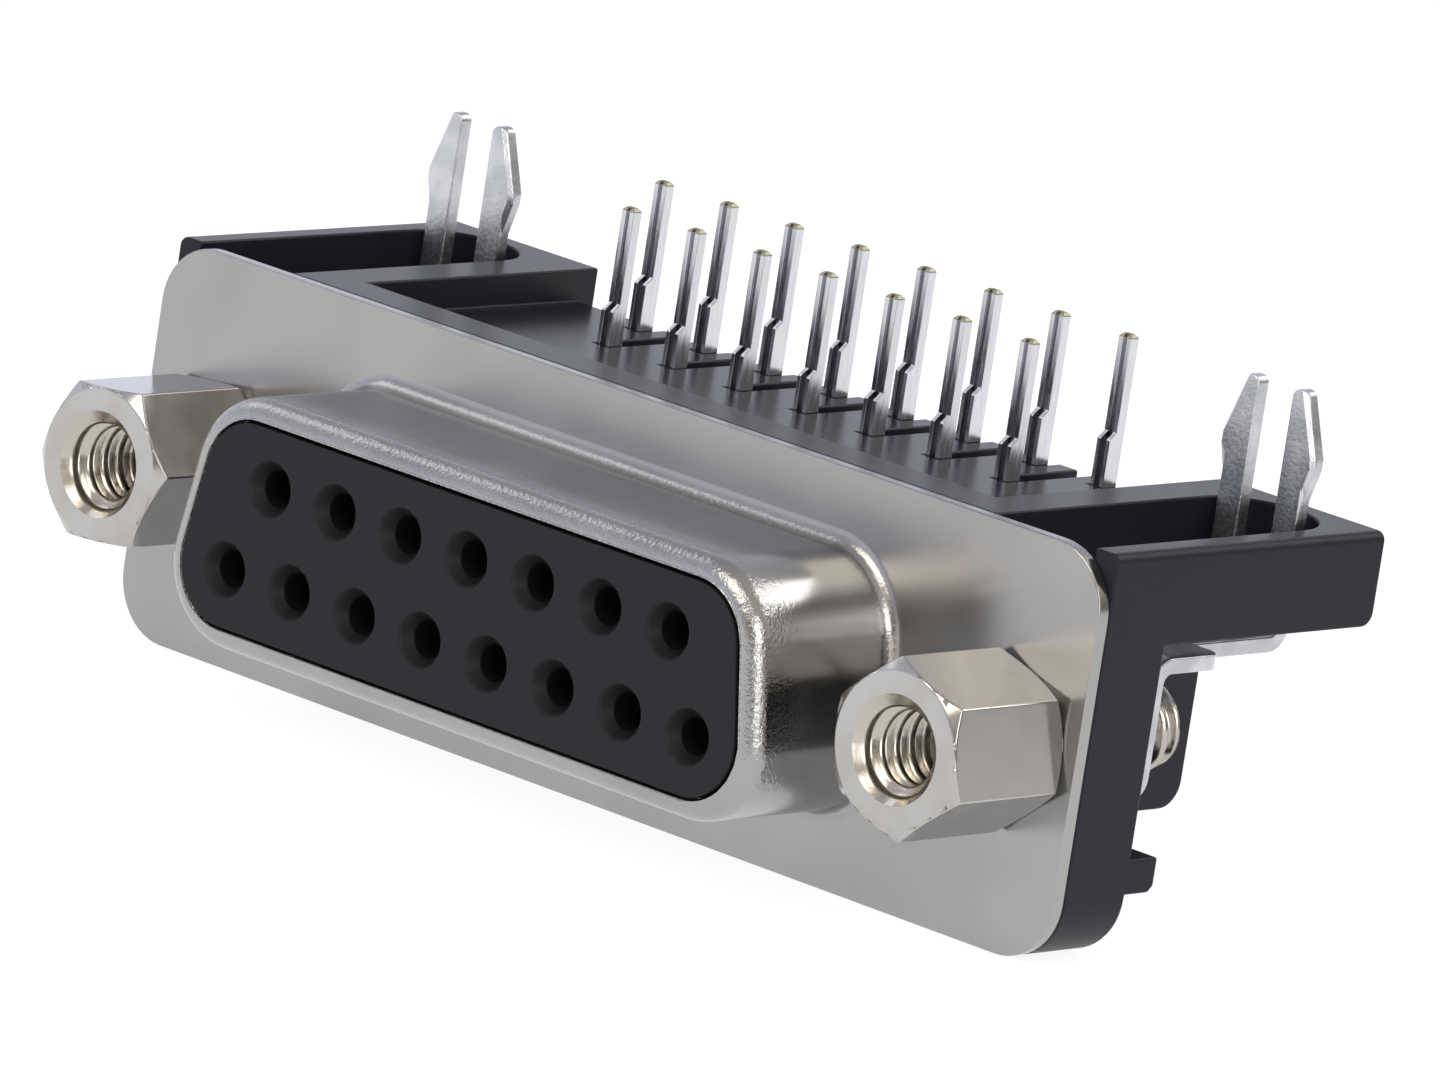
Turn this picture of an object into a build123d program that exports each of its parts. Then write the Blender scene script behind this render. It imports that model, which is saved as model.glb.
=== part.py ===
from build123d import *
import os
from math import radians, sqrt, tan

# Right-angle 15-way socket connector with a D-shaped shell, for a through-hole board.
# Millimetres. Every piece is drawn about the mating axis: X runs along the connector,
# Y from the front face of the flange towards the rear, and Z towards the board, which is
# up here, as the solder tails point up. Each piece is then moved once, to the board datum.

# Front shell, one drawn sheet
sheet = 0.45
flange_end = 2.91
flange_height = 12.55
flange_corner = 2.0
shroud_reach = 5.84
shroud_width = 24.2
shroud_height = 7.9
shroud_corner = 2.6
side_slope = 10.0
rim_radius = 0.65
rim_return = 0.7
root_radius = 0.5

# Contact pattern: the short row is nearer the board
pitch = 2.77
row_gap = 2.84
short_row_count = 7
long_row_count = 8

# Contact block
block_gap = 0.06
face_proud = 0.06
funnel_d = 1.75
funnel_depth = 0.4
entry_d = 1.15
entry_depth = 1.4
cavity = 1.8
block_flange_length = 27.6
block_flange_height = 10.2
block_flange_thick = 1.2
block_flange_corner = 1.0

# Contacts
barrel_d = 1.68
barrel_bore = 1.04
barrel_flat_count = 12
barrel_length = 6.4
barrel_depth = 5.2
barrel_slit = 0.18
contact_width = 0.5
blade_depth = 0.64
tail_depth = 0.38
bend_outer = 0.85
bend_inner = 0.22
blade_groove_width = 0.22
blade_groove_depth = 0.42
tail_groove_width = 0.14
tail_groove_depth = 0.18
shoulder_rise = 0.2
tip_chamfer = 0.1
front_tail_y = 8.3
tail_row_gap = 2.84
tail_length = 3.24
front_shoulder = 0.06
rear_shoulder = 0.44

# Bracket housing
axis_to_board = 6.275
plate_thick = 2.7
bar_thick = 1.75
deck_drop = 1.03
deck_edge = 0.66
body_gap = 0.06
body_bottom = 3.7
body_edge_radius = 0.85
slot_gap = 0.05
wing_wall = 1.585
wing_depth = 2.9
wing_rear = 12.5
wing_corner = 0.45
wing_top_radius = 0.3
lock_slot = 3.95
foot_length = 3.6
foot_height = 1.08
foot_depth = 1.22
foot_top = 3.12
foot_chamfer = 0.2

# Jack screws
screw_spacing = 33.32
hex_flats = 4.75
hex_length = 4.75
hex_chamfer_drop = 0.42
hex_chamfer_rise = 0.28
hex_turns = {"left": 5.0, "right": 39.5}
thread_d = 2.84
thread_depth = 4.0
countersink_d = 3.3
stud_reach = 6.5
stud_chamfer = 0.35
flange_hole_gap = 0.11
plate_hole_gap = 0.18

# Board locks, bent from one strip each
lock_sheet = 0.5
lock_width = 5.4
lock_bottom = 1.7
lock_corner = 1.0
lock_arm_z = 2.9
lock_wide_rear = 6.1
lock_wide_corner = 0.5
lock_bend = 0.3
prong_y = 10.1
prong_gap = 1.34
prong_neck = 3.14
prong_bulge = 3.72
prong_tip_width = 2.36
prong_root = 3.9
prong_neck_z = 6.97
prong_bulge_low_z = 8.0
prong_bulge_high_z = 8.35
prong_above_board = 4.0
prong_tip_radius = 0.26
prong_bevel = 0.14
lock_hole_gap = 0.03

# Values that follow from the sizes above
plate_back = sheet + plate_thick
footprint_y = front_tail_y + tail_row_gap / 2
deck_z = axis_to_board - deck_drop
body_rear = front_tail_y + tail_row_gap + deck_edge
wing_bottom = axis_to_board - wing_depth
screw_x = screw_spacing / 2
flange_length = screw_spacing + 2 * flange_end
body_width = screw_spacing - lock_width - 2 * body_gap
deck_half = screw_x - lock_slot / 2 - wing_wall
rows = (
    (short_row_count, row_gap / 2, front_tail_y, front_shoulder),
    (long_row_count, -row_gap / 2, front_tail_y + tail_row_gap, rear_shoulder),
)
board_datum = Pos(0, -footprint_y, -axis_to_board)


def prism(section, front, rear):
    """Solid whose section, drawn in X and Z, runs in Y from front to rear."""
    return extrude(Plane.XZ.offset(-rear) * section, rear - front)


def slab(profile, width):
    """Solid whose profile, drawn in Y and Z, is centred on X = 0 and width thick."""
    return extrude(Plane.YZ * profile, width / 2, both=True)


def block(x, y, z):
    """Box between the given (low, high) pairs."""
    centre = [(low + high) / 2 for low, high in (x, y, z)]
    return Pos(*centre) * Box(*(high - low for low, high in (x, y, z)))


def edges_at(solid, y):
    """Edges that lie in the plane Y = y."""
    return solid.edges().filter_by_position(Axis.Y, y - 0.001, y + 0.001)


def low_rear_edge(solid):
    """The edge along X where the solid's underside meets its rear face."""
    return solid.edges().filter_by(Axis.X).sort_by(lambda e: e.center().Z - e.center().Y)[0]


def d_outline(inset):
    """D section of the shroud, drawn in by an inset: narrow side up, wide side down."""
    half_height = shroud_height / 2 - inset
    half_width = shroud_width / 2 - inset
    lean = half_height * tan(radians(side_slope))
    outline = Polygon(
        (-half_width - lean, -half_height),
        (half_width + lean, -half_height),
        (half_width - lean, half_height),
        (-half_width + lean, half_height),
        align=None,
    )
    return fillet(outline.vertices(), shroud_corner - inset)


def row_places(count):
    """X of each contact in a row of the given count."""
    return [(i - (count - 1) / 2) * pitch for i in range(count)]


def both_sides(piece):
    """The piece and its mirror image across the middle of the connector."""
    return piece + mirror(piece, Plane.YZ)


def make_front_shell():
    """Flange and D shroud, drawn from one sheet with a rim that turns in."""
    shroud = prism(d_outline(0), -shroud_reach, sheet)
    shroud = fillet(edges_at(shroud, -shroud_reach), rim_radius)
    shell = shroud + prism(RectangleRounded(flange_length, flange_height, flange_corner), 0, sheet)
    shell = fillet(edges_at(shell, 0).filter_by(lambda e: abs(e.center().X) < screw_x
                                                and e.bounding_box().size.Z < shroud_height
                                                and abs(e.center().Z) < shroud_height / 2 + 0.1),
                   root_radius)
    hollow = prism(d_outline(sheet), sheet - shroud_reach, sheet)
    hollow = chamfer(edges_at(hollow, sheet - shroud_reach), rim_radius - sheet)
    shell -= hollow + prism(d_outline(rim_return), -shroud_reach - sheet, 0)
    inner_mouth = edges_at(shell, sheet).filter_by(lambda e: abs(e.center().X) < shroud_width / 2
                                                   and abs(e.center().Z) < shroud_height / 2)
    shell = chamfer(inner_mouth, (2 - sqrt(2)) * (root_radius + sheet))
    for side in (-1, 1):
        screw_hole = prism(Circle(thread_d / 2 + flange_hole_gap), -sheet, 2 * sheet)
        shell -= Pos(side * screw_x, 0, 0) * screw_hole
    return shell


def make_contact_block():
    """Moulded insulator: the D block inside the shell, with a flange held behind it."""
    shoulder = sheet - shroud_reach + block_gap
    body = prism(d_outline(sheet + block_gap), shoulder, plate_back)
    body = chamfer(edges_at(body, shoulder), rim_radius - sheet)
    body += prism(d_outline(rim_return + block_gap), -shroud_reach - face_proud, shoulder)
    body += prism(
        RectangleRounded(block_flange_length, block_flange_height, block_flange_corner),
        sheet,
        sheet + block_flange_thick,
    )
    face = -shroud_reach - face_proud
    hole_profile = Polygon(
        (0, face),
        (funnel_d / 2, face),
        (entry_d / 2, face + funnel_depth),
        (entry_d / 2, face + entry_depth),
        (0, face + entry_depth),
        align=None,
    )
    hole = revolve(hole_profile, Axis.Y) + prism(Rectangle(cavity, cavity), face + entry_depth, plate_back)
    for count, z, _, _ in rows:
        for x in row_places(count):
            body -= Pos(x, 0, z) * hole
    return body


def make_contact(z, tail_y, shoulder):
    """Socket barrel with a grooved blade that turns up through the deck into a solder tail."""
    barrel_front = entry_depth - shroud_reach + block_gap
    barrel_rear = barrel_front + barrel_length
    bore_end = barrel_front + barrel_depth
    barrel = prism(RegularPolygon(barrel_d / 2, barrel_flat_count), barrel_front, barrel_rear)
    barrel -= prism(RegularPolygon(barrel_bore / 2, barrel_flat_count), barrel_front, bore_end)
    barrel -= block(
        (-barrel_slit / 2, barrel_slit / 2),
        (barrel_front, bore_end),
        (-barrel_d, 0),
    )

    back = tail_y + tail_depth / 2
    front = back - blade_depth
    tail_front = back - tail_depth
    shoulder_z = axis_to_board + shoulder
    top = shoulder_z + tail_length
    low = z - blade_depth / 2
    high = z + blade_depth / 2
    profile = Polygon(
        (barrel_rear, low),
        (back, low),
        (back, top),
        (tail_front, top),
        (tail_front, shoulder_z + shoulder_rise),
        (front, shoulder_z),
        (front, high),
        (barrel_rear, high),
        align=None,
    )
    heel = profile.vertices().sort_by_distance((back, low))[0]
    profile = fillet(heel, bend_outer)
    throat = profile.vertices().sort_by_distance((front, high))[0]
    profile = fillet(throat, bend_inner)
    blade = slab(profile, contact_width)
    blade = chamfer(blade.faces().sort_by(Axis.Z)[-1].edges(), tip_chamfer)

    groove_x = (-blade_groove_width / 2, blade_groove_width / 2)
    groove_floor = front + blade_groove_depth
    blade -= block(groove_x, (front, groove_floor), (high - blade_groove_depth, shoulder_z + shoulder_rise))
    blade -= block(groove_x, (barrel_rear + contact_width, groove_floor), (high - blade_groove_depth, high))
    groove_x = (-tail_groove_width / 2, tail_groove_width / 2)
    blade -= block(groove_x, (tail_front, tail_front + tail_groove_depth), (shoulder_z, top))
    return Pos(0, 0, z) * barrel + blade


def comb_slot(z, tail_y):
    """Slot that a contact is slid into from the rear, open at the deck and the rear face."""
    rear = body_rear + sheet
    top = deck_z + deck_drop
    half = blade_depth / 2 + slot_gap
    front = tail_y + tail_depth / 2 - blade_depth - slot_gap
    profile = Polygon(
        (plate_back - sheet, z - half),
        (rear, z - half),
        (rear, top),
        (front, top),
        (front, z + half),
        (plate_back - sheet, z + half),
        align=None,
    )
    throat = profile.vertices().sort_by_distance((front, z + half))[0]
    profile = fillet(throat, bend_inner - slot_gap)
    return slab(profile, contact_width + 2 * slot_gap)


def make_bracket_housing():
    """Black moulding: front plate, slotted wings, combed deck and the feet behind the plate."""
    half_length = flange_length / 2
    half_height = flange_height / 2
    plate = block((-half_length, half_length), (sheet, plate_back), (-half_height, axis_to_board))
    plate = fillet(plate.edges().filter_by(Axis.Y).group_by(Axis.Z)[0], flange_corner)
    plate = fillet(plate.edges().filter_by(Axis.Y).group_by(Axis.Z)[-1], wing_top_radius)

    body = block((-body_width / 2, body_width / 2), (sheet, body_rear), (-body_bottom, deck_z))
    body = fillet(low_rear_edge(body), body_edge_radius)

    wing = block((deck_half, half_length), (sheet, wing_rear), (wing_bottom, axis_to_board))
    wing = fillet(low_rear_edge(wing), wing_corner)
    top_edge = wing.edges().filter_by(Axis.Y).sort_by(lambda e: e.center().X + e.center().Z)[-1]
    wing = fillet(top_edge, wing_top_radius)
    foot = block(
        (half_length - foot_length, half_length),
        (sheet, plate_back + foot_depth),
        (-foot_top - foot_height, -foot_top),
    )
    foot = chamfer(low_rear_edge(foot), foot_chamfer)
    lock_window = block(
        (screw_x - lock_slot / 2, screw_x + lock_slot / 2),
        (0, footprint_y),
        (wing_bottom, axis_to_board + sheet),
    )
    lock_window += Pos(screw_x, footprint_y, (wing_bottom + axis_to_board) / 2) * Cylinder(
        lock_slot / 2, wing_depth + 2 * sheet)
    screw_hole = Pos(screw_x, 0, 0) * prism(Circle(thread_d / 2 + plate_hole_gap), 0, plate_back + sheet)

    deck_front = block((-deck_half, deck_half), (sheet + bar_thick, plate_back), (deck_z, axis_to_board))

    housing = plate + body + both_sides(wing) + both_sides(foot)
    housing -= deck_front
    housing -= both_sides(lock_window) + both_sides(screw_hole)
    pocket = RectangleRounded(
        block_flange_length + 2 * block_gap,
        block_flange_height + 2 * block_gap,
        block_flange_corner + block_gap,
    )
    housing -= prism(pocket, sheet, sheet + block_flange_thick + block_gap)
    housing -= prism(d_outline(sheet), sheet, plate_back)
    for count, z, tail_y, _ in rows:
        slot = comb_slot(z, tail_y)
        for x in row_places(count):
            housing -= Pos(x, 0, 0) * slot
    return housing


def make_board_lock():
    """Bent strip: a plate behind the bracket, an arm under the wing and two barbed prongs."""
    seat = plate_back
    prong_front = prong_y - lock_sheet / 2
    prong_back = prong_front + lock_sheet
    top = axis_to_board + prong_above_board
    arm_low = lock_arm_z - lock_sheet
    profile = Polygon(
        (seat, -lock_bottom),
        (seat + lock_sheet, -lock_bottom),
        (seat + lock_sheet, arm_low),
        (prong_back, arm_low),
        (prong_back, top),
        (prong_front, top),
        (prong_front, lock_arm_z),
        (seat, lock_arm_z),
        align=None,
    )
    for corner in ((seat + lock_sheet, arm_low), (prong_front, lock_arm_z)):
        profile = fillet(profile.vertices().sort_by_distance(corner)[0], lock_bend)
    for corner in ((seat, lock_arm_z), (prong_back, arm_low)):
        profile = fillet(profile.vertices().sort_by_distance(corner)[0], lock_bend + lock_sheet)
    strip = slab(profile, lock_width)

    wide = block((-lock_width / 2, lock_width / 2), (seat, lock_wide_rear), (-lock_bottom, lock_arm_z))
    wide = fillet(wide.edges().filter_by(Axis.Y).group_by(Axis.Z)[0], lock_corner)
    wide = fillet(wide.edges().filter_by(Axis.Z).group_by(Axis.Y)[-1], lock_wide_corner)

    outline = Polygon(
        (-prong_neck / 2, arm_low),
        (prong_neck / 2, arm_low),
        (prong_neck / 2, prong_neck_z),
        (prong_bulge / 2, prong_bulge_low_z),
        (prong_bulge / 2, prong_bulge_high_z),
        (prong_tip_width / 2, top),
        (-prong_tip_width / 2, top),
        (-prong_bulge / 2, prong_bulge_high_z),
        (-prong_bulge / 2, prong_bulge_low_z),
        (-prong_neck / 2, prong_neck_z),
        align=None,
    )
    outline -= Pos(0, (prong_root + top) / 2) * Rectangle(prong_gap, top - prong_root)
    outline -= Pos(0, prong_root) * Circle(prong_gap / 2)
    lock = strip & (wide + prism(outline, seat, prong_back))

    barbs = edges_at(lock, prong_front).filter_by(lambda e: abs(e.center().X) > prong_tip_width / 2
                                                  and e.center().Z > prong_neck_z)
    lock = chamfer(barbs, prong_bevel)
    lock = fillet(lock.edges().filter_by(Axis.Y).group_by(Axis.Z)[-1], prong_tip_radius)
    lock -= prism(Circle(thread_d / 2 + lock_hole_gap), seat, seat + lock_sheet)
    return lock


def make_jack_screw(turn):
    """Hexagonal post with a threaded bore in front and a threaded stud behind."""
    corner_radius = hex_flats / 3 ** 0.5
    envelope = Polygon(
        (0, -hex_length),
        (corner_radius - hex_chamfer_drop, -hex_length),
        (corner_radius, hex_chamfer_rise - hex_length),
        (corner_radius, -hex_chamfer_rise),
        (corner_radius - hex_chamfer_drop, 0),
        (0, 0),
        align=None,
    )
    hexagon = RegularPolygon(corner_radius, 6, rotation=turn)
    screw = prism(hexagon, -hex_length, 0) & revolve(envelope, Axis.Y)
    stud = prism(Circle(thread_d / 2), 0, stud_reach)
    screw += chamfer(edges_at(stud, stud_reach), stud_chamfer)
    sink = (countersink_d - thread_d) / 2
    bore = Polygon(
        (0, -hex_length),
        (countersink_d / 2, -hex_length),
        (thread_d / 2, sink - hex_length),
        (thread_d / 2, thread_depth - hex_length),
        (0, thread_depth - hex_length),
        align=None,
    )
    return screw - revolve(bore, Axis.Y)


pieces = {
    "front_shell": make_front_shell(),
    "contact_block": make_contact_block(),
    "bracket_housing": make_bracket_housing(),
}
number = 0
for count, z, tail_y, shoulder in rows:
    contact = make_contact(z, tail_y, shoulder)
    for x in row_places(count):
        number += 1
        pieces[f"contact_{number:02d}"] = Pos(x, 0, 0) * contact
for side, name in ((-1, "left"), (1, "right")):
    pieces[f"board_lock_{name}"] = Pos(side * screw_x, 0, 0) * make_board_lock()
    pieces[f"jack_screw_{name}"] = Pos(side * screw_x, 0, 0) * make_jack_screw(hex_turns[name])

os.makedirs("parts", exist_ok=True)
for name, piece in pieces.items():
    export_step(board_datum * piece, f"parts/{name}.step")
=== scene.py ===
from math import radians, tau

import bmesh
import bpy
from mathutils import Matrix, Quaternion, Vector


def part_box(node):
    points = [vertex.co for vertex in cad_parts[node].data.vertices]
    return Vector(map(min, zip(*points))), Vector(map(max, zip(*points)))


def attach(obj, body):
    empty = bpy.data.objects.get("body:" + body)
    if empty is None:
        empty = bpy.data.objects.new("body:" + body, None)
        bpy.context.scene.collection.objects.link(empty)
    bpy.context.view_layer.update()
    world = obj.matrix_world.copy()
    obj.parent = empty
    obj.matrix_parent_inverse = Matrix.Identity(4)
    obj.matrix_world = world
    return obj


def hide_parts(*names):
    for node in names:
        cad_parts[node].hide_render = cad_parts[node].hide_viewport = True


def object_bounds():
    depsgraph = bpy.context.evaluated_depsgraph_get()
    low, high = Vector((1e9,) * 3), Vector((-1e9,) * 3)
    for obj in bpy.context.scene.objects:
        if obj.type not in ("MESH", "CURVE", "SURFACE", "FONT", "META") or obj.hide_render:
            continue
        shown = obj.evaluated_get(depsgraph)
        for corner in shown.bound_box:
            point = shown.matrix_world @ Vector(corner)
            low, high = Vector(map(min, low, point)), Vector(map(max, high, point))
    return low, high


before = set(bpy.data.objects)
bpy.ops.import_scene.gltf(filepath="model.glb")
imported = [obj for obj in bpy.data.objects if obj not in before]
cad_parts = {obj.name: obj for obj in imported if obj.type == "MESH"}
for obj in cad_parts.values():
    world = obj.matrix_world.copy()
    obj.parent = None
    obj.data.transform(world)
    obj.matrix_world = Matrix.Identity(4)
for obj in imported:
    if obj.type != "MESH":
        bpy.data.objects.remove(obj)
cad_low, cad_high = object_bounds()
MM = 0.001


# The contact block is the black insulator that fills the D. It is moulded in one piece, smooth
# and dull on its face. Its colour is painted darker down the funnel round each pin entry, as
# painted shade in the hole. The shell clamps its flange against the bracket.
class Wire:
    """A node socket on which Python's operators add Math nodes to the same tree."""

    def __init__(self, tree, socket=None):
        self.tree = tree
        self.socket = socket

    def node(self, kind, settings=None, inputs=None, output=0):
        """Adds a node, sets its settings and then its inputs, and gives one of its outputs."""
        made = self.tree.nodes.new(kind)
        for setting, value in (settings or {}).items():
            setattr(made, setting, value)
        for name, value in (inputs or {}).items():
            if isinstance(value, Wire):
                self.tree.links.new(value.socket, made.inputs[name])
            else:
                made.inputs[name].default_value = value
        return Wire(self.tree, made.outputs[output])

    def part(self, axis):
        """The X, Y or Z of this vector."""
        return self.node("ShaderNodeSeparateXYZ", None, {"Vector": self}, output=axis)

    def math(self, operation, *values):
        """A Math node on values that are wires or numbers."""
        return self.node("ShaderNodeMath", {"operation": operation}, dict(enumerate(values)))

    def __add__(self, other):
        return self.math("ADD", self, other)

    def __sub__(self, other):
        return self.math("SUBTRACT", self, other)

    def __rsub__(self, other):
        return self.math("SUBTRACT", other, self)

    def __mul__(self, other):
        return self.math("MULTIPLY", self, other)

    def __truediv__(self, other):
        return self.math("DIVIDE", self, other)

    def __rtruediv__(self, other):
        return self.math("DIVIDE", other, self)

    def __gt__(self, other):
        return self.math("GREATER_THAN", self, other)

    def __lt__(self, other):
        return self.math("LESS_THAN", self, other)

    def __abs__(self):
        return self.math("ABSOLUTE", self)

    __radd__ = __add__
    __rmul__ = __mul__

    def least(self, other):
        return self.math("MINIMUM", self, other)

    def most(self, other):
        return self.math("MAXIMUM", self, other)

    def rounded_up(self):
        return self.math("CEIL", self)

    def sine(self):
        return self.math("SINE", self)

    def cosine(self):
        return self.math("COSINE", self)

    def between(self, low, high):
        """1 where the value lies between low and high, and 0 elsewhere."""
        return (self > low) * (self < high)

    def ramp(self, low, high, to_low=0.0, to_high=1.0):
        """Goes smoothly from to_low to to_high while the value goes from low to high."""
        ends = {"Value": self, "From Min": low, "From Max": high, "To Min": to_low, "To Max": to_high}
        return self.node("ShaderNodeMapRange", {"interpolation_type": "SMOOTHSTEP"}, ends)

    def blend(self, colour, other):
        """Mixes two colours, with this value as the share of the other one."""
        # A Mix node has its own sockets for colours: inputs 6 and 7, and output 2.
        return self.node("ShaderNodeMix", {"data_type": "RGBA"}, {0: self, 6: colour, 7: other}, output=2)

    def noise(self, grain, detail=2.0, roughness=0.5):
        """Noise on this vector, with patches about one grain across."""
        sizes = {"Vector": self, "Scale": 1 / grain, "Detail": detail, "Roughness": roughness}
        return self.node("ShaderNodeTexNoise", None, sizes)


class Finish:
    """A material on one Principled shader: constants first, then what varies over the surface."""

    def __init__(self, name, **constants):
        self.material = bpy.data.materials.new(name)
        self.material.use_nodes = True
        self.tree = self.material.node_tree
        self.shader = self.tree.nodes["Principled BSDF"]
        for socket, value in constants.items():
            self.shader.inputs[socket.replace("_", " ")].default_value = value
        self.place = Wire(self.tree).node("ShaderNodeTexCoord", output="Object")

    def vary(self, socket, wire):
        """Feeds one of the shader's sockets from a wire."""
        self.tree.links.new(wire.socket, self.shader.inputs[socket])

    def relief(self, height, depth):
        """Raises the surface by the height wire, of about 0 to 1, times a depth."""
        sizes = {"Height": height, "Distance": depth, "Strength": 1.0}
        self.vary("Normal", height.node("ShaderNodeBump", None, sizes))


SAME_PLACE = 1e-6
FLAT = radians(0.2)
CREASE = radians(28)


def weld(node):
    """The mesh of a CAD node with its loose triangles joined into its flat faces."""
    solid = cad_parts[node].data
    mesh = bpy.data.meshes.new(node)
    mesh.from_pydata([v.co for v in solid.vertices], [], [p.vertices[:] for p in solid.polygons])
    shape = bmesh.new()
    shape.from_mesh(mesh)
    bmesh.ops.remove_doubles(shape, verts=shape.verts, dist=SAME_PLACE)
    bmesh.ops.dissolve_limit(shape, angle_limit=FLAT, verts=shape.verts, edges=shape.edges)
    shape.to_mesh(mesh)
    shape.free()
    return mesh


def plain(piece):
    """Turns what the piece's modifiers make of it into its own mesh, and removes them."""
    evaluated = piece.evaluated_get(bpy.context.evaluated_depsgraph_get())
    made = bpy.data.meshes.new_from_object(evaluated)
    piece.modifiers.clear()
    piece.data = made


def dress(node, finish, edge, mesh=None, broken_from=CREASE):
    """Puts a copy in the place of a CAD node, in its finish and with its sharp edges broken."""
    mesh = mesh or weld(node)
    mesh.materials.append(finish.material)
    mesh.polygons.foreach_set("use_smooth", [True] * len(mesh.polygons))
    mesh.set_sharp_from_angle(angle=CREASE)
    piece = bpy.data.objects.new(f"{node}_finished", mesh)
    bpy.context.scene.collection.objects.link(piece)
    bevel = piece.modifiers.new("broken edges", "BEVEL")
    bevel.width = edge
    bevel.segments = 2
    bevel.limit_method = "ANGLE"
    bevel.angle_limit = broken_from
    bevel.use_clamp_overlap = False
    bevel.harden_normals = True
    plain(piece)
    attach(piece, "root")
    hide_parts(node)


block_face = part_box("contact_block")[0].y
face_black = (0.0112, 0.0109, 0.0145, 1)
# The funnel's darker black is painted shade: the colour darkens with depth behind the face, where shade falls
# in each hole.
funnel_painted_shade = (0.006, 0.0058, 0.0065, 1)
funnel_shade_from = 0.03 * MM
funnel_shade_full = 0.15 * MM

insulator = Finish("dull_black_insulator", Roughness=0.48, Specular_IOR_Level=0.17)
behind_face = insulator.place.part("Y") - block_face
funnel_shade_amount = behind_face.ramp(funnel_shade_from, funnel_shade_full)
insulator.vary("Base Color", funnel_shade_amount.blend(face_black, funnel_painted_shade))
insulator.relief(insulator.place.noise(0.09 * MM), depth=0.002 * MM)
dress("contact_block", insulator, edge=0.03 * MM)


# Fifteen socket contacts are stamped and folded from thin brass strip and tinned bright. The
# barrels sit in the block. The blades turn up through the comb of the bracket and narrow at a
# slanted shoulder to the solder tails, whose tips were cut after plating and show the brass.
contact_count = 15
between_rows = 0.0
front_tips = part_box("contact_01")[1].z
rear_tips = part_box("contact_08")[1].z
cut_length = 0.13 * MM
streak_stretch = (1, 1, 0.12)
grey_tin = (0.59, 0.595, 0.64, 1)
pale_tin = (0.67, 0.675, 0.725, 1)
bare_brass = (0.33, 0.32, 0.24, 1)
brass_roughness = 0.42
# Noise lies mostly between these two values, so a ramp between them uses its whole range.
NOISE_SPAN = (0.3, 0.7)

tinned = Finish("bright_tin", Metallic=1.0)
in_rear_row = tinned.place.part("Y") > between_rows
tail_tip = in_rear_row.ramp(0, 1, to_low=front_tips, to_high=rear_tips)
cut_tip = tinned.place.part("Z") > tail_tip - cut_length
stretching = {"Vector": tinned.place, "Scale": streak_stretch}
streaks = tinned.place.node("ShaderNodeMapping", None, stretching).noise(0.11 * MM)
plating = streaks.ramp(*NOISE_SPAN).blend(grey_tin, pale_tin)
tinned.vary("Base Color", cut_tip.blend(plating, bare_brass))
plate_roughness = streaks.ramp(0.35, 0.7, to_low=0.17, to_high=0.26)
tinned.vary("Roughness", plate_roughness.most(cut_tip * brass_roughness))
tinned.relief(streaks, depth=0.005 * MM)
for number in range(1, contact_count + 1):
    dress(f"contact_{number:02d}", tinned, edge=0.03 * MM)


# The front shell is one sheet of steel, drawn into the D shroud and its flange and then nickel
# plated. The drawn bends are stretched and grainy, and the flange is smooth with cut edges.
shell_low, shell_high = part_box("front_shell")
sheet = 0.45 * MM
flange_front = shell_high.y - sheet
shroud_end = flange_front - 0.05 * MM
rim_grain_full = shell_low.y + 0.7 * MM
rim_grain_end = shell_low.y + 2.2 * MM
root_grain_start = flange_front - 1.1 * MM
root_grain_full = flange_front - 0.5 * MM
grey_nickel = (0.34, 0.338, 0.336, 1)
pale_nickel = (0.374, 0.371, 0.368, 1)
shroud_polish = 0.04

nickel = Finish("satin_nickel", Metallic=1.0)
depth = nickel.place.part("Y")
on_shroud = depth < shroud_end
rim_grain = depth.ramp(rim_grain_full, rim_grain_end, to_low=1, to_high=0.05)
root_grain = depth.ramp(root_grain_start, root_grain_full, to_low=0, to_high=0.5)
drawn = rim_grain.most(root_grain) * on_shroud
clouds = nickel.place.noise(3.5 * MM, detail=1.0)
grain = nickel.place.noise(0.13 * MM, roughness=0.6)
nickel.vary("Base Color", clouds.ramp(*NOISE_SPAN).blend(grey_nickel, pale_nickel))
nickel.vary("Roughness", clouds.ramp(*NOISE_SPAN, to_low=0.21, to_high=0.26) - on_shroud * shroud_polish)
nickel.relief(grain * drawn, depth=0.024 * MM)
dress("front_shell", nickel, edge=0.06 * MM)


# The bracket housing is the black moulding that the board sits on. It carries the contacts in a
# combed deck between two slotted wings. It is moulded semi-gloss, glossiest on the deck.
deck_z = -1.03 * MM
deck_margin = 0.05 * MM
faces_up = 0.9
side_roughness = 0.42
top_polish = 0.12
deck_polish = 0.05

bracket = Finish(
    "semi_gloss_black_bracket",
    Base_Color=(0.0115, 0.012, 0.0185, 1),
    Specular_IOR_Level=0.18,
)
facing = Wire(bracket.tree).node("ShaderNodeTexCoord", output="Normal")
upward = facing.part("Z") > faces_up
level = bracket.place.part("Z")
on_deck = upward * level.between(deck_z - deck_margin, deck_z + deck_margin)
skin = bracket.place.noise(0.16 * MM)
bracket.vary("Roughness", side_roughness - upward * top_polish - on_deck * deck_polish)
bracket.relief(skin * (1 - on_deck), depth=0.002 * MM)
dress("bracket_housing", bracket, edge=0.08 * MM)


# Two board locks are bent from steel strip and tinned to a satin grey. The jack screws clamp
# their plates behind the bracket, and their forked prongs snap into the board.
# Only edges sharper than this are broken. Flatter ones lie too close together in the fork.
square_edges = radians(45)
dull_tin = (0.46, 0.475, 0.505, 1)
clean_tin = (0.61, 0.625, 0.655, 1)

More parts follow.
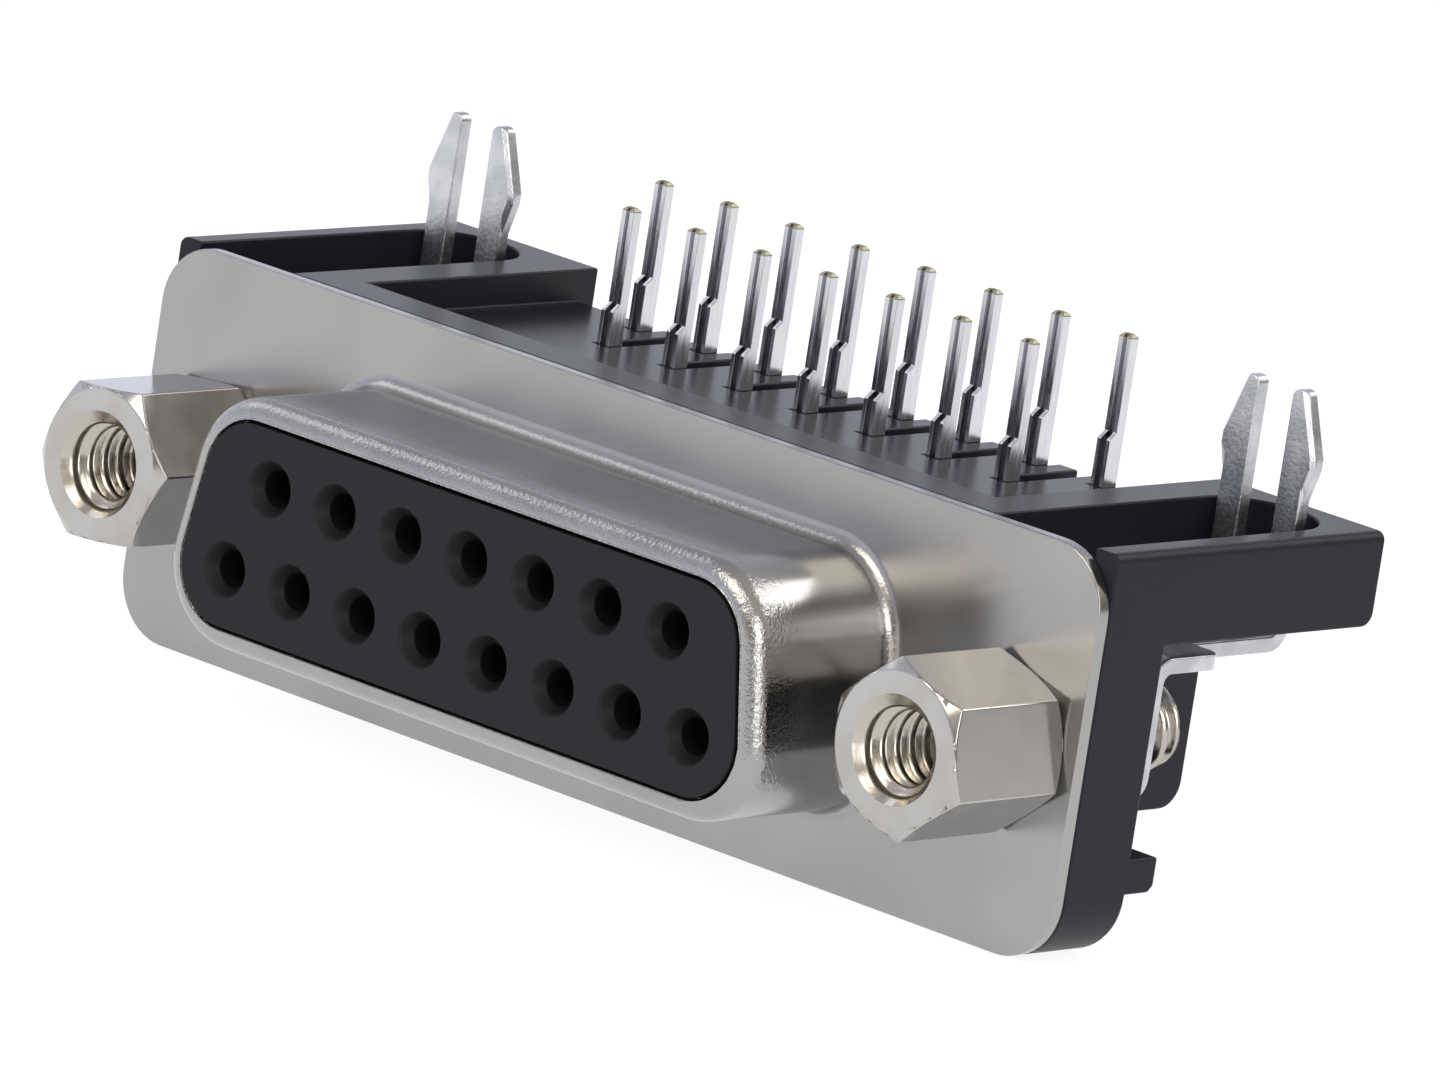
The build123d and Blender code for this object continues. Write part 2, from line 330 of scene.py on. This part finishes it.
satin_tin = Finish("satin_tin", Metallic=1.0)
patches = satin_tin.place.noise(1.1 * MM, detail=3.0)
rolled = satin_tin.place.noise(0.14 * MM, detail=3.0)
satin_tin.vary("Base Color", patches.ramp(*NOISE_SPAN).blend(dull_tin, clean_tin))
satin_tin.vary("Roughness", rolled.ramp(*NOISE_SPAN, to_low=0.285, to_high=0.36))
satin_tin.relief(rolled, depth=0.008 * MM)
for side in ("left", "right"):
    dress(f"board_lock_{side}", satin_tin, edge=0.06 * MM, broken_from=square_edges)


# Two jack screws are turned from hexagonal bar and nickel plated. The front bore takes the
# plug's screws, and the stud behind holds flange, bracket and lock plate together. Both threads
# are the fine inch thread of this size, and their cut walls are duller than the bar.
stained_nickel = (0.425, 0.415, 0.402, 1)
clean_nickel = (0.465, 0.46, 0.455, 1)

bright_nickel = Finish("bright_nickel", Metallic=1.0)
stains = bright_nickel.place.noise(1.6 * MM, detail=3.0)
bright_nickel.vary("Base Color", stains.ramp(0.35, 0.65).blend(stained_nickel, clean_nickel))
bright_nickel.vary("Roughness", stains.ramp(*NOISE_SPAN, to_low=0.11, to_high=0.2))

cut_nickel = Finish("cut_nickel", Metallic=1.0, Base_Color=(0.47, 0.44, 0.395, 1))
chatter = cut_nickel.place.noise(0.2 * MM)
cut_nickel.vary("Roughness", chatter.ramp(*NOISE_SPAN, to_low=0.17, to_high=0.25))
cut_nickel.relief(chatter, depth=0.004 * MM)

thread_pitch = 0.635 * MM
thread_crest = 1.42 * MM
thread_root = 1.11 * MM
mouth_radius = 1.65 * MM
mouth_slope = -1.0
stud_end_radius = 1.07 * MM
stud_end_slope = 1.6
bore_depth = 4.0 * MM
faces_along = 0.95
GROOVE_FLOOR = 0.25
RIDGE_TOP = 0.85
STEPS_PER_TURN = 42
STEPS_PER_PITCH = 10


def thread_tree():
    """Geometry nodes that lay a thread's profile along a right-handed helix about the Y axis."""
    tree = bpy.data.node_groups.new("thread", "GeometryNodeTree")
    sockets = {
        "Centre": "Vector",
        "Direction": "Float",
        "Length": "Float",
        "Pitch": "Float",
        "Groove radius": "Float",
        "Ridge radius": "Float",
        "Start radius": "Float",
        "Start slope": "Float",
        "Finish": "Material",
    }
    for name, kind in sockets.items():
        tree.interface.new_socket(name, in_out="INPUT", socket_type=f"NodeSocket{kind}")
    tree.interface.new_socket("Geometry", in_out="OUTPUT", socket_type="NodeSocketGeometry")
    wire = Wire(tree)
    given = {name: wire.node("NodeGroupInput", output=name) for name in sockets}

    # The grid is 1 by 1 about its middle. Its X becomes the turns, and its Y one pitch of profile.
    turns = (given["Length"] / given["Pitch"] + 1).rounded_up()
    steps = {"Vertices X": turns * STEPS_PER_TURN + 1, "Vertices Y": STEPS_PER_PITCH + 1}
    grid = wire.node("GeometryNodeMeshGrid", None, {"Size X": 1.0, "Size Y": 1.0, **steps})
    spot = wire.node("GeometryNodeInputPosition")
    turn = (spot.part("X") + 0.5) * turns
    across = spot.part("Y") + 0.5

    ridge = (1 - abs(across - 0.5) * 2).ramp(GROOVE_FLOOR, RIDGE_TOP)
    radius = given["Groove radius"] + (given["Ridge radius"] - given["Groove radius"]) * ridge
    along = ((turn + across - 1) * given["Pitch"]).least(given["Length"]).most(0)

    # A cone cuts the start of the thread. It widens on a stud, whose ridges stay inside it, and
    # narrows in a bore, whose ridges stay outside it.
    slope = given["Start slope"]
    cone = given["Start radius"] + along * slope
    on_stud = slope > 0
    radius = radius.least(cone) * on_stud + radius.most(cone) * (1 - on_stud)
    angle = turn * tau * given["Direction"]
    round_axis = {
        "X": angle.sine() * radius,
        "Y": along * given["Direction"],
        "Z": angle.cosine() * radius,
    }
    place = wire.node("ShaderNodeCombineXYZ", None, round_axis)
    place = wire.node("ShaderNodeVectorMath", {"operation": "ADD"}, {0: place, 1: given["Centre"]})

    thread = wire.node("GeometryNodeSetPosition", None, {"Geometry": grid, "Position": place})
    thread = wire.node("GeometryNodeMergeByDistance", None, {"Geometry": thread, "Distance": SAME_PLACE / 10})
    thread = wire.node("GeometryNodeFlipFaces", None, {"Mesh": thread, "Selection": slope < 0})
    thread = wire.node("GeometryNodeSetShadeSmooth", None, {"Geometry": thread})
    thread = wire.node("GeometryNodeRealizeInstances", None, {"Geometry": thread})
    thread = wire.node("GeometryNodeSetMaterial", None, {"Geometry": thread, "Material": given["Finish"]})
    tree.links.new(thread.socket, tree.nodes.new("NodeGroupOutput").inputs["Geometry"])
    return tree


def grow(tree, name, sizes):
    """Makes a piece from a tree and its named sizes, as a plain mesh."""
    piece = bpy.data.objects.new(name, bpy.data.meshes.new(name))
    bpy.context.scene.collection.objects.link(piece)
    modifier = piece.modifiers.new("grow", "NODES")
    modifier.node_group = tree
    for socket in tree.interface.items_tree:
        if socket.name in sizes:
            modifier[socket.identifier] = sizes[socket.name]
    plain(piece)
    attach(piece, "root")


def bare_screw(node, axis):
    """A jack screw's mesh without the plain walls that the two threads take the place of."""
    mesh = weld(node)
    shape = bmesh.new()
    shape.from_mesh(mesh)
    for face in list(shape.faces):
        reach = (face.calc_center_median() - axis).xz.length
        if reach < mouth_radius and abs(face.normal.y) < faces_along:
            shape.faces.remove(face)
    shape.to_mesh(mesh)
    shape.free()
    return mesh


thread = thread_tree()
for side in ("left", "right"):
    node = f"jack_screw_{side}"
    low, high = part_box(node)
    axis = (low + high) / 2
    dress(node, bright_nickel, edge=0.05 * MM, mesh=bare_screw(node, axis))
    shared = {"Pitch": thread_pitch, "Finish": cut_nickel.material}
    bore = {
        "Centre": (axis.x, low.y, axis.z),
        "Direction": 1.0,
        "Length": bore_depth,
        "Groove radius": thread_crest,
        "Ridge radius": thread_root,
        "Start radius": mouth_radius,
        "Start slope": mouth_slope,
    }
    stud = {
        "Centre": (axis.x, high.y, axis.z),
        "Direction": -1.0,
        "Length": high.y - flange_front,
        "Groove radius": thread_root,
        "Ridge radius": thread_crest,
        "Start radius": stud_end_radius,
        "Start slope": stud_end_slope,
    }
    grow(thread, f"{node}_bore_thread", {**bore, **shared})
    grow(thread, f"{node}_stud_thread", {**stud, **shared})


# The stage is a plain white floor that glows evenly, like a light table, just under the flange.
# The room is pale to the left and dim to the right, and five soft panels add light.
floor_half = 3.0
floor_gap = 0.02 * MM
floor_z = cad_low.z - floor_gap
corner_signs = ((-1, -1), (1, -1), (1, 1), (-1, 1))
corners = [(x * floor_half, y * floor_half, floor_z) for x, y in corner_signs]
floor_mesh = bpy.data.meshes.new("floor")
floor_mesh.from_pydata(corners, [], [range(4)])
paint = Finish(
    "pale_floor",
    Base_Color=(0.2, 0.2, 0.2, 1),
    Roughness=0.9,
    Specular_IOR_Level=0.1,
    Emission_Color=(1, 1, 1, 1),
    Emission_Strength=0.9,
)
floor_mesh.materials.append(paint.material)
floor = bpy.data.objects.new("floor", floor_mesh)
bpy.context.scene.collection.objects.link(floor)

left_below = (0.96, 0.985, 1.13, 1)
left_above = (0.5, 0.5, 0.54, 1)
right_below = (0.235, 0.212, 0.182, 1)
right_above = (0.74, 0.69, 0.62, 1)
room = bpy.data.worlds.new("room")
room.use_nodes = True
toward = Wire(room.node_tree).node("ShaderNodeTexCoord", output="Generated")
rise = toward.part("Z")
left_wall = rise.ramp(0, 0.9).blend(left_below, left_above)
right_wall = rise.ramp(0.06, 0.45).blend(right_below, right_above)
walls = toward.part("X").ramp(-0.45, 0.35).blend(left_wall, right_wall)
room.node_tree.links.new(walls.socket, room.node_tree.nodes["Background"].inputs["Color"])
bpy.context.scene.world = room


def panel(name, place, size, watts, colour=(1, 1, 1)):
    """A square lamp that faces the connector and isn't seen itself."""
    lamp = bpy.data.lights.new(name, "AREA")
    lamp.color = colour
    lamp.size = size
    lamp.energy = watts
    lit = bpy.data.objects.new(name, lamp)
    lit.location = place
    lit.rotation_mode = "QUATERNION"
    lit.rotation_quaternion = (-Vector(place)).to_track_quat("-Z", "Y")
    lit.visible_camera = False
    bpy.context.scene.collection.objects.link(lit)


panel("front panel", (-0.03, -0.44, 0.4), size=0.33, watts=1.2, colour=(1, 0.89, 0.74))
panel("right panel", (0.52, -0.27, 0.17), size=0.36, watts=1.2)
panel("left panel", (-0.5, -0.1, 0.4), size=0.28, watts=0.26)
panel("corner panel", (0.18, -0.36, 0.44), size=0.12, watts=0.1)
panel("rear panel", (0.2, 0.45, 0.4), size=0.3, watts=0.8)

# The camera stands at the front right, a little above, through a long lens, rolled as the
# connector lies in the picture.
aim = Vector((1.64, -6.37, -4.37)) * MM
distance = 429.8 * MM
azimuth = 41.46
elevation = 12.21
roll = 8.68
eye = bpy.data.cameras.new("camera")
eye.lens = 357.9
eye.sensor_width = 36
eye.clip_start = 0.01
eye.clip_end = 20
turned = Quaternion((0, 0, 1), radians(azimuth)) @ Quaternion((1, 0, 0), radians(-elevation))
back = turned @ Vector((0, -1, 0))
camera = bpy.data.objects.new("camera", eye)
camera.location = aim + back * distance
camera.rotation_mode = "QUATERNION"
camera.rotation_quaternion = (-back).to_track_quat("-Z", "Y") @ Quaternion((0, 0, 1), radians(roll))
bpy.context.scene.collection.objects.link(camera)
bpy.context.scene.camera = camera
bpy.context.scene.view_settings.view_transform = "Standard"
